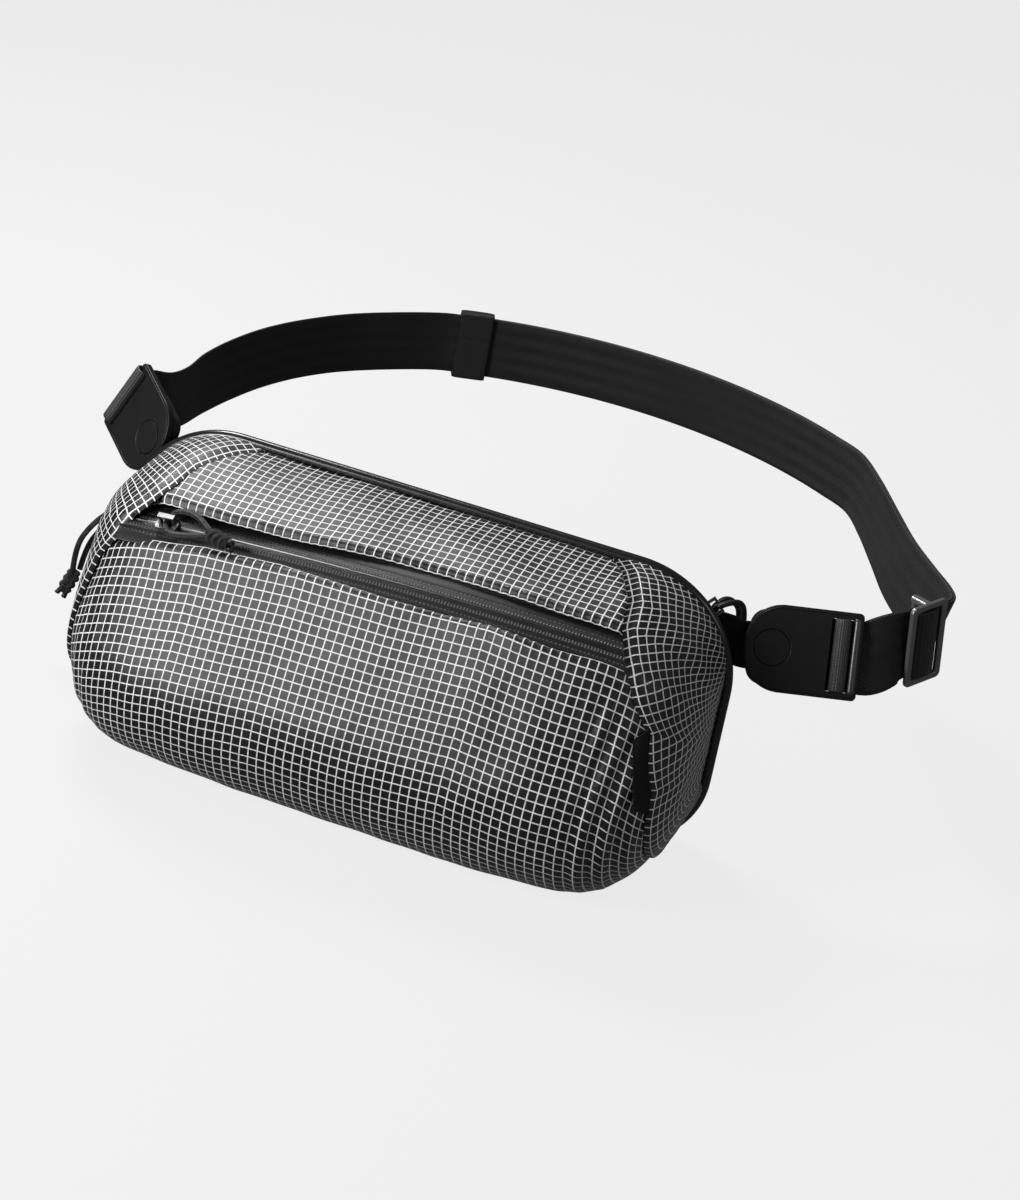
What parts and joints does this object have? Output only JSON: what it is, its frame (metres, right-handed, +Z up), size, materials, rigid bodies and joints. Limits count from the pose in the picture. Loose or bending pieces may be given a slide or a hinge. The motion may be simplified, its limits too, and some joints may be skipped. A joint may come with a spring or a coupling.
{
  "type": "sling bag",
  "caption": "Black ripstop crossbody sling bag with a front zip pocket, two-way main zip with cord pulls, magnetic buckles and a webbing strap with tri-glide and keeper.",
  "frame": {"origin": "centre of the flat bottom that the bag stands on, in the plane where the bag is longest", "axes": "+X along the bag towards the two-bar buckle, front faces -Y, +Z up"},
  "size_m": [0.4883, 0.4247, 0.1621],
  "materials": {
    "ripstop": "coated ripstop with a pale woven grid, semi-gloss",
    "side_cloth": "coated plain weave, satin",
    "foam": "closed-cell foam, matte",
    "lining": "plain woven lining, matte",
    "zip_tape": "film-laminated zip tape, satin",
    "zip_coil": "nylon coil, satin",
    "slider_metal": "black enamel worn bright on its edges",
    "cord": "braided cord, satin",
    "piping": "coated piping, glossy",
    "webbing": "ribbed nylon webbing, satin",
    "buckle": "moulded polymer, fine matte",
    "magnet": "plated",
    "glide": "dark satin enamel",
    "keeper_cloth": "coated cloth, satin",
    "label": "woven tab, satin"
  },
  "bodies": {
    "bag": {"anchor_tab_left": "webbing", "anchor_tab_right": "webbing", "back_foam": "foam", "back_panel": "side_cloth", "base_magnet_left": "magnet", "base_magnet_right": "magnet", "buckle_base_left": "buckle", "buckle_base_right": "buckle", "front_lower_panel": "ripstop", "front_upper_panel": "ripstop", "front_zip_coil": "zip_coil", "front_zip_tape_lower": "zip_tape", "front_zip_tape_upper": "zip_tape", "gusset": "side_cloth", "main_lining": "lining", "main_zip_coil": "zip_coil", "main_zip_tape_front": "zip_tape", "main_zip_tape_rear": "zip_tape", "piping_bead": "piping", "pocket_lining": "lining", "side_label": "label", "wing_left": "ripstop", "wing_right": "ripstop"},
    "front_slider": {"front_slider": "slider_metal"},
    "front_pull": {"front_pull_cord": "cord", "front_pull_knot": "cord"},
    "main_slider_left": {"main_slider_left": "slider_metal"},
    "main_pull_left": {"main_pull_left_cord": "cord", "main_pull_left_knot": "cord"},
    "main_slider_right": {"main_slider_right": "slider_metal"},
    "main_pull_right": {"main_pull_right_cord": "cord", "main_pull_right_knot": "cord"},
    "strap": {"strap_webbing": "webbing", "strap_tail": "webbing", "bar_fold_left": "webbing", "bar_fold_right": "webbing", "tri_glide": "glide", "buckle_plate_left": "buckle", "buckle_plate_right": "buckle", "magnet_cover_left": "buckle", "magnet_cover_right": "buckle", "plate_magnet_left": "magnet", "plate_magnet_right": "magnet"},
    "keeper": {"strap_keeper": "keeper_cloth"}
  },
  "joints": [
    {"name": "front_zip", "type": "hinge", "parent": "bag", "child": "front_slider", "pos_m": [0.02341, 0.70448, -1.39296], "axis": [-0.0364, 0.9023, 0.4296], "range_deg": [0, 8]},
    {"name": "front_pull_swing", "type": "hinge", "parent": "front_slider", "child": "front_pull", "pos_m": [-0.11744, -0.02948, 0.1364], "axis": [0.0364, -0.9023, -0.4296], "range_deg": [0, 100]},
    {"name": "main_zip_left", "type": "hinge", "parent": "bag", "child": "main_slider_left", "pos_m": [-0.114, 0.0607, 0.099], "axis": [0, 1, 0], "range_deg": [0, 86]},
    {"name": "main_pull_left_swing", "type": "hinge", "parent": "main_slider_left", "child": "main_pull_left", "pos_m": [-0.17016, 0.06296, 0.101], "axis": [0, 1, 0], "range_deg": [-10, 60]},
    {"name": "main_zip_right", "type": "hinge", "parent": "bag", "child": "main_slider_right", "pos_m": [0.114, 0.0607, 0.099], "axis": [0, -1, 0], "range_deg": [0, 42]},
    {"name": "main_pull_right_swing", "type": "hinge", "parent": "main_slider_right", "child": "main_pull_right", "pos_m": [0.15371, 0.06296, 0.13877], "axis": [0, -1, 0], "range_deg": [0, 12]},
    {"name": "strap_lift_off", "type": "slide", "parent": "bag", "child": "strap", "axis": [0, -0.9052, 0.425], "range_m": [0, 0.024]},
    {"name": "keeper_slide", "type": "hinge", "parent": "strap", "child": "keeper", "pos_m": [0.014, 0.111, 0.138], "axis": [0, 0, 1], "range_deg": [-54, 4]}
  ]
}
